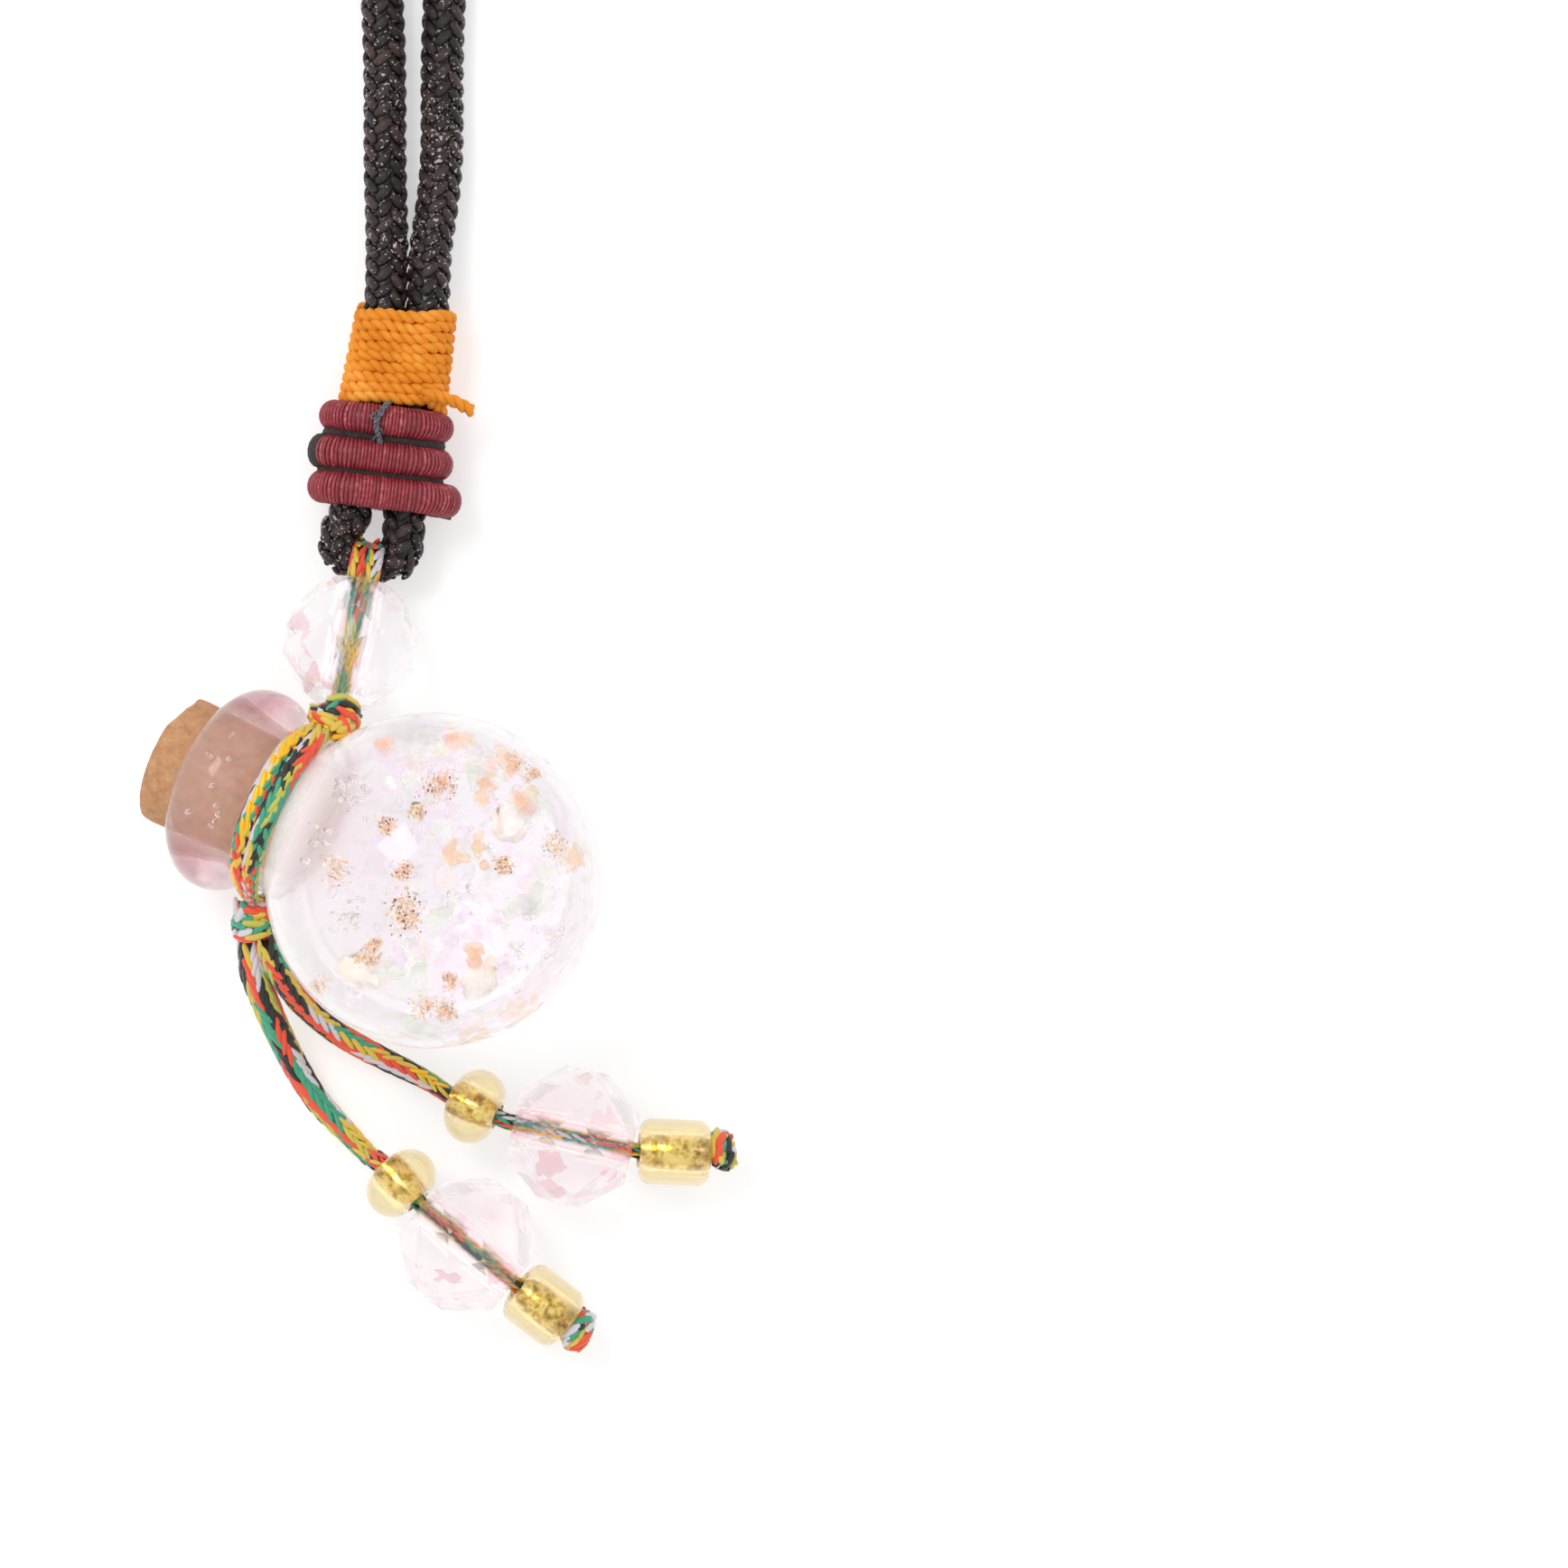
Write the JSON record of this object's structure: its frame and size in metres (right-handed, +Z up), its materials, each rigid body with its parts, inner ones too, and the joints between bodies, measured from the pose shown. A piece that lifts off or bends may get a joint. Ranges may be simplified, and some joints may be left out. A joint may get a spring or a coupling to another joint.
{
  "type": "bottle pendant",
  "caption": "Small round glass bottle with a cork, hung with cut glass beads and many-coloured thread on a braided loop of necklace cord.",
  "frame": {"origin": "on the table, under the centre of the bottle's round body", "axes": "+Z up from the table, +Y along the length of the necklace from the pendant to the back of the neck, +X to the right seen from above"},
  "size_m": [0.1698, 0.306, 0.013],
  "materials": {
    "bottle_glass": "polished",
    "cork": "matte",
    "braided_cord": "satin",
    "orange_yarn": "matte",
    "red_rope": "satin",
    "coloured_thread": "satin",
    "clear_crystal": "polished",
    "pink_crystal": "polished",
    "gold_lined_glass": "polished"
  },
  "bodies": {
    "pendant": {"glass_bottle": "bottle_glass", "necklace_cord": "braided_cord", "orange_wrap": "orange_yarn", "red_coil_1": "red_rope", "red_coil_2": "red_rope", "red_coil_3": "red_rope", "hanger_thread": "coloured_thread", "top_bead": "clear_crystal", "upper_knot": "coloured_thread", "neck_binding": "coloured_thread", "lower_knot": "coloured_thread", "tail_thread_1": "coloured_thread", "gold_round_1": "gold_lined_glass", "pink_bead_1": "pink_crystal", "gold_barrel_1": "gold_lined_glass", "end_knot_1": "coloured_thread", "tail_thread_2": "coloured_thread", "gold_round_2": "gold_lined_glass", "pink_bead_2": "pink_crystal", "gold_barrel_2": "gold_lined_glass", "end_knot_2": "coloured_thread"},
    "stopper": {"cork_stopper": "cork"}
  },
  "joints": [
    {"name": "cork_pull", "type": "slide", "parent": "pendant", "child": "stopper", "axis": [-0.8684, 0.3976, -0.2962], "range_m": [0, 0.0048]}
  ]
}
